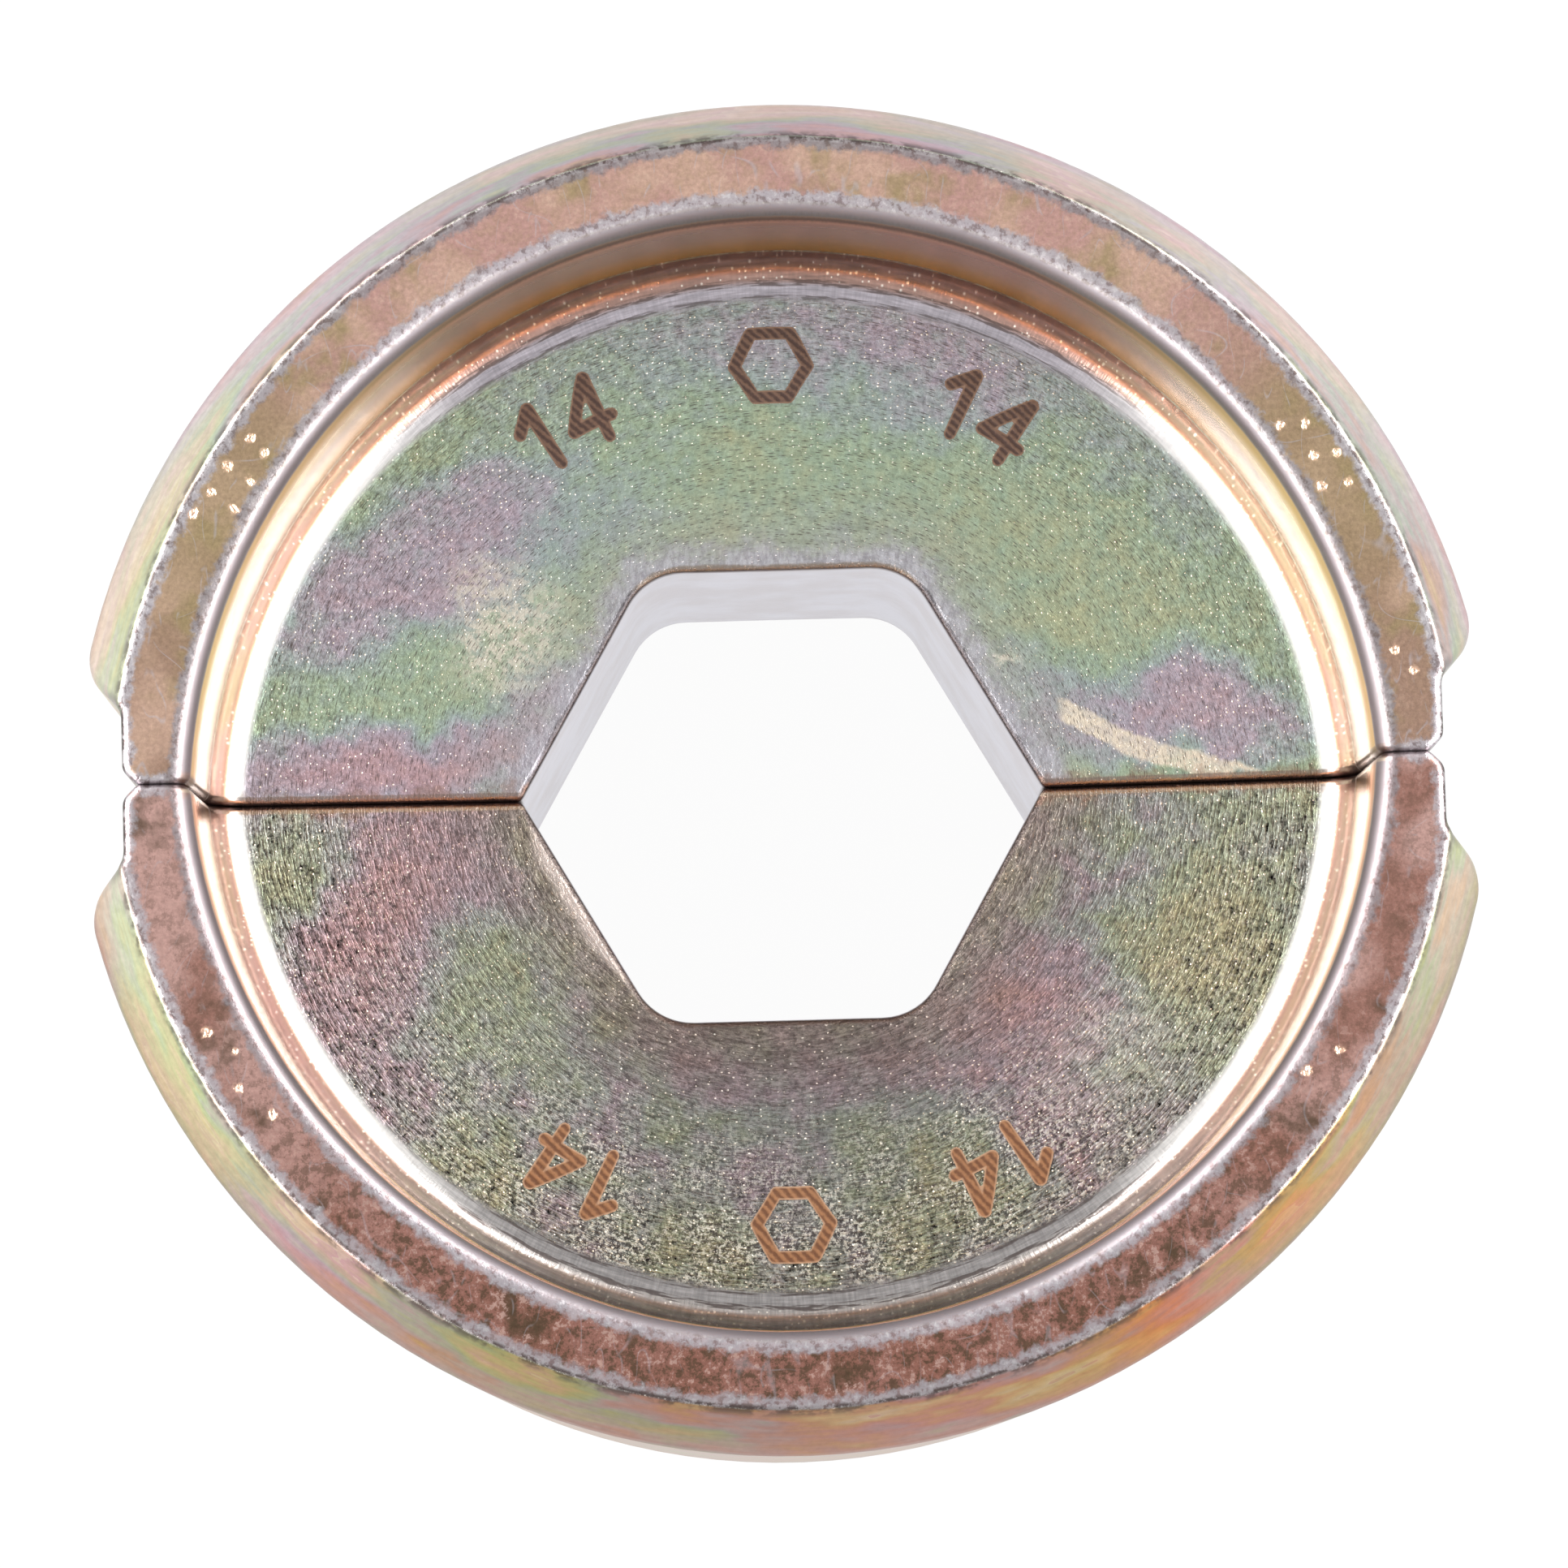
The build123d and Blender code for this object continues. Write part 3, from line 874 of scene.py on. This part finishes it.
def skinShader(t, zones, look):
    # cones and land, their pale film and painted shade changing round the die, and the smooth cavity walls
    at, around, height = zones["Millimetres"], zones["Around"], zones["Height"]
    turn = calc(t, "DIVIDE", calc(t, "ABSOLUTE", zones["Angle"]), pi)
    drift = noise(t, scale3(t, around, 0.4, 0.14, 0.4), 1.0, 4.0, 0.6)
    # painted shade: the ramp darkens towards the middle of the half
    cone = ramp(t, swing(t, drift, 0.16, turn), look["coneRound"])
    film = use(t, filmTint, Thickness=calc(t, "FRACT", swing(t, drift, 3.0, 0.6)))["Color"]
    land = span(t, zones["Radius"], 21.85, 22.05)
    cone = blend(t, calc(t, "MULTIPLY_ADD", land, 0.3, look["coneFilm"]), cone, film)
    cone = blend(t, times(t, land, 0.2), cone, finish["darkEdge"])
    edge = span(t, swing(t, drift, 1.6, zones["Radius"]), 21.3, 22.0, 0.0, 0.5)
    cone = blend(t, edge, cone, look["coneEdge"])
    cone = blend(t, 1.0, cone, look["coneTint"], "MULTIPLY")
    grain = noise(t, at, 4.0, 3.0, 0.65)
    turned = noise(t, scale3(t, around, 7.0, 0.8, 7.0), 1.0, 2.0, 0.6)
    cone = blend(t, 1.0, cone, swing(t, plus(t, grain, turned), 0.28, 0.86), "MULTIPLY")
    # painted shade: darker in patches along the rim's outer rounding, and over the cut-backs
    patchy = span(t, noise(t, at, 1.2, 3.0, 0.7), 0.42, 0.60, 0.1, 0.75)
    rubbedAndShaded = times(t, span(t, zones["Rim Depth"], -0.30, -0.05), patchy)
    flatShade = times(t, span(t, zones["Parting"], 2.6, 3.1, 1.0, 0.0), span(t, height, 14.9, 14.99, 0.5, 0.0))
    cone = blend(t, calc(t, "MAXIMUM", rubbedAndShaded, flatShade), cone, finish["pitTone"])
    cloudy = span(t, noise(t, at, 0.5, 2.0, 0.5), 0.3, 0.7)
    wall = blend(t, cloudy, finish["hexWallTone"], finish["hexWallPale"])
    wall = blend(t, span(t, height, 6.1, 6.6, 0.0, 0.6), wall, finish["hexMouth"])
    colour = blend(t, zones["Hex Wall"], cone, wall)
    return steelShader(t, colour, swing(t, grain, 0.1, 0.32), times(t, grain, 0.006))


def platedSteel(name, look):
    mat = bpy.data.materials.new(name)
    mat.use_nodes = True
    t = mat.node_tree
    t.nodes.clear()
    zones = use(t, dieZones, Place=put(t, "ShaderNodeTexCoord").outputs["Object"])
    recess = calc(t, "MAXIMUM", zones["Foot"], zones["Wall"])
    skin = calc(t, "MAXIMUM", zones["Outside"], zones["Hex Wall"])
    finished = mixShaders(t, recess, webShader(t, zones, look), recessShader(t, zones, look))
    finished = mixShaders(t, skin, finished, skinShader(t, zones, look))
    finished = mixShaders(t, zones["Rim"], finished, rimShader(t, zones, look))
    feed(t, put(t, "ShaderNodeOutputMaterial").inputs["Surface"], finished)
    return mat


for node, look in (("upper_die", upperLook), ("lower_die", lowerLook)):
    steel = platedSteel(node + "_plating", look)
    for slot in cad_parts[node].material_slots:
        slot.material = steel
print("plating on both dies")


# engraved size marks
markSet = {
    "signs": "14o14",        # digits and an o for the hexagon's outline
    "high": 2.45,            # mm
    "stroke": 0.42,          # mm, width of a stroke
    "midRadius": 13.75,      # mm from the middle of the hexagon to the middle of the signs
    "places": (-33.5, -25.5, 0.0, 25.0, 33.0),   # degrees from the top, one for each sign
    "cell": 0.045,           # mm, mesh size
    "lift": 0.018,           # mm above the web
}
# strokes of each sign on a height of 1
signStrokes = {
    "1": [[(0.04, 0.72), (0.34, 1.0), (0.34, 0.0)]],
    "4": [[(0.50, 0.0), (0.50, 1.0), (0.0, 0.30), (0.68, 0.30)]],
    "o": [[(0.577 * cos(k * pi / 3) + 0.577, 0.5 + 0.577 * sin(k * pi / 3)) for k in range(7)]],
}
webSection = {
    "atAxis": 5.8178,        # mm above the middle plane, on the turning axis
    "dish": 5.0,             # degrees of rise outwards
}


def strokeDistance(u, v, strokes):
    # distance of every grid point from the nearest straight run of the strokes
    nearest = np.full(u.shape, 1e9)
    for run in strokes:
        for (ax, ay), (bx, by) in zip(run[:-1], run[1:]):
            dx, dy = bx - ax, by - ay
            along = np.clip(((u - ax) * dx + (v - ay) * dy) / (dx * dx + dy * dy), 0, 1)
            nearest = np.minimum(nearest, np.hypot(u - ax - along * dx, v - ay - along * dy))
    return nearest


def makeMark(name, sign, degrees, half, spec):
    # A grid (u, v) over the sign keeps the cells inside the strokes; points that overshoot the stroke's
    # edge are pulled back to it down the distance's slope. u runs along the arc, v outwards, and the
    # height follows the dish.
    scale = spec["high"] - spec["stroke"]
    strokes = [[(x * scale, y * scale) for x, y in run] for run in signStrokes[sign]]
    wide = max(x for run in strokes for x, y in run)
    pad = spec["stroke"]
    u = np.arange(-pad, wide + pad, spec["cell"])
    v = np.arange(-pad, scale + pad, spec["cell"])
    u, v = np.meshgrid(u, v)
    reach = spec["stroke"] / 2
    d = strokeDistance(u, v, strokes)
    slopeV, slopeU = np.gradient(d, spec["cell"])
    steep = np.maximum(np.hypot(slopeU, slopeV), 0.3)
    over = np.clip(d - reach, 0, None)
    inside = d < reach + 0.75 * spec["cell"]
    u = u - over * slopeU / steep
    v = v - over * slopeV / steep
    across = np.clip(d / reach, 0, 1)
    # the sheet bends round the hexagon's axis and rises with the web's dish
    angle = radians(degrees) + (u - wide / 2) / spec["midRadius"]
    rho = spec["midRadius"] + v - scale / 2
    x, y = rho * np.sin(angle) * half, rho * np.cos(angle) * half
    radius = np.hypot(x, np.abs(y) + setback)
    z = middle + webSection["atAxis"] + radius * tan(radians(webSection["dish"])) + spec["lift"]
    rows, cols = u.shape
    index = np.arange(rows * cols).reshape(rows, cols)
    keep = inside[:-1, :-1] & inside[1:, :-1] & inside[:-1, 1:] & inside[1:, 1:]
    quads = np.stack([index[:-1, :-1], index[:-1, 1:], index[1:, 1:], index[1:, :-1]], -1)[keep]
    used, quads = np.unique(quads, return_inverse=True)
    quads = quads.reshape(-1, 4)[:, ::-1]    # the arc runs clockwise, so the order is turned to face up
    points = np.stack([x, y, z], -1).reshape(-1, 3)[used] * mm
    mesh = bpy.data.meshes.new(name)
    mesh.from_pydata(points.tolist(), [], quads.tolist())
    edge = mesh.attributes.new("across", "FLOAT", "POINT")
    edge.data.foreach_set("value", across.reshape(-1)[used].astype(np.float32))
    mesh.update()
    mark = bpy.data.objects.new(name, mesh)
    bpy.context.scene.collection.objects.link(mark)
    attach(mark, "root")
    return mark


def markMaterial(name, dark, light, outline):
    mat = bpy.data.materials.new(name)
    mat.use_nodes = True
    t = mat.node_tree
    shader = t.nodes["Principled BSDF"]
    place = scale3(t, put(t, "ShaderNodeTexCoord").outputs["Object"], 1000.0, 1000.0, 1000.0)
    # fine hatch of the engraving tool, with broken grain, and a lighter burr along the border
    hatch = put(t, "ShaderNodeTexWave", bands_direction="DIAGONAL")
    feed(t, hatch.inputs["Vector"], place)
    hatch.inputs["Scale"].default_value = 2.0
    hatch.inputs["Distortion"].default_value = 1.2
    hatch.inputs["Detail Scale"].default_value = 2.0
    grain = noise(t, place, 9.0, 3.0, 0.6)
    tone = plus(t, times(t, hatch.outputs["Fac"], 0.6), swing(t, grain, 0.9, 0.1))
    colour = blend(t, span(t, tone, 0.1, 0.8), dark, light)
    across = put(t, "ShaderNodeAttribute", attribute_name="across").outputs["Fac"]
    colour = blend(t, span(t, across, 0.62, 0.95, 0.0, 0.85), colour, outline)
    feed(t, shader.inputs["Base Color"], colour)
    feed(t, shader.inputs["Roughness"], swing(t, grain, 0.2, 0.5))
    shader.inputs["Metallic"].default_value = 0.35
    bump = put(t, "ShaderNodeBump")
    bump.inputs["Strength"].default_value = 1.0
    bump.inputs["Distance"].default_value = mm
    feed(t, bump.inputs["Height"], times(t, tone, 0.012))
    feed(t, shader.inputs["Normal"], bump.outputs[0])
    return mat


darkMark = markMaterial("engravedDark", paint(66, 48, 42), paint(106, 82, 68), paint(132, 106, 88))
rustMark = markMaterial("engravedRust", paint(100, 66, 44), paint(146, 106, 74), paint(176, 146, 120))
for half, label, mat in ((1, "upper", darkMark), (-1, "lower", rustMark)):
    for number, (sign, degrees) in enumerate(zip(markSet["signs"], markSet["places"])):
        makeMark(f"{label}_mark_{number + 1}", sign, degrees, half, markSet).data.materials.append(mat)
print("size marks engraved")


# studio
studio = {
    "skyLight": 0.75,        # soft light on matt surfaces, where 1 is white
    "stripRadiance": 12.0,   # the two strip lamps beside the die
    "stripAway": 160 * mm,
    "stripAlong": 70 * mm,   # towards +Y
    "stripHeight": 95 * mm,
    "stripWide": 95 * mm,
    "stripLong": 450 * mm,
    "stripAim": 22 * mm,     # height of the point that the strips face
    "floorReach": 2.0,       # metres, from the middle to an edge
    "floorTone": 0.8,
    "floorGlow": 0.96,       # share of plain white in the floor, the rest takes the shadow
}


def showsBackground(t):
    # 1 for rays from the camera, from reflections and through glass
    rays = put(t, "ShaderNodeLightPath")
    seen = calc(t, "MAXIMUM", rays.outputs["Is Camera Ray"], rays.outputs["Is Glossy Ray"])
    return calc(t, "MAXIMUM", seen, rays.outputs["Is Transmission Ray"])


def makeWorld():
    world = bpy.data.worlds.new("studioWhite")
    world.use_nodes = True
    t = world.node_tree
    back = t.nodes["Background"]
    back.inputs["Color"].default_value = (1, 1, 1, 1)
    feed(t, back.inputs["Strength"], blendValue(t, showsBackground(t), studio["skyLight"], 1.0))
    bpy.context.scene.world = world


def makeStrip(name, side):
    data = bpy.data.lights.new(name, "AREA")
    data.shape = "RECTANGLE"
    data.size = studio["stripLong"]
    data.size_y = studio["stripWide"]
    data.energy = studio["stripRadiance"] * pi * data.size * data.size_y
    lamp = bpy.data.objects.new(name, data)
    here = Vector((side * studio["stripAway"], studio["stripAlong"], studio["stripHeight"]))
    lookAt = Vector((0, studio["stripAlong"], studio["stripAim"])) - here
    back = -lookAt.normalized()
    along = Vector((0, 1, 0))
    up = back.cross(along).normalized()
    lamp.matrix_world = Matrix.Translation(here) @ Matrix((along, up, back)).transposed().to_4x4()
    lamp.visible_camera = False
    bpy.context.scene.collection.objects.link(lamp)


def makeFloor():
    far, tone = studio["floorReach"], studio["floorTone"]
    mesh = bpy.data.meshes.new("floor")
    mesh.from_pydata([(-far, -far, 0), (far, -far, 0), (far, far, 0), (-far, far, 0)], [], [(0, 1, 2, 3)])
    floor = bpy.data.objects.new("floor", mesh)
    bpy.context.scene.collection.objects.link(floor)
    mat = bpy.data.materials.new("paperWhite")
    mat.use_nodes = True
    t = mat.node_tree
    t.nodes.clear()
    matt = put(t, "ShaderNodeBsdfDiffuse")
    matt.inputs["Color"].default_value = (tone, tone, tone, 1)
    glow = put(t, "ShaderNodeEmission")
    mix = put(t, "ShaderNodeMixShader")
    feed(t, mix.inputs[0], times(t, showsBackground(t), studio["floorGlow"]))
    feed(t, mix.inputs[1], matt.outputs[0])
    feed(t, mix.inputs[2], glow.outputs[0])
    # the underside of the floor is clear, so that the die can be looked at from below
    clear = mixShaders(t, put(t, "ShaderNodeNewGeometry").outputs["Backfacing"], mix.outputs[0],
                       put(t, "ShaderNodeBsdfTransparent").outputs[0])
    feed(t, put(t, "ShaderNodeOutputMaterial").inputs["Surface"], clear)
    mesh.materials.append(mat)


makeWorld()
makeStrip("stripLeft", -1)
makeStrip("stripRight", 1)
makeFloor()
print("studio lit")
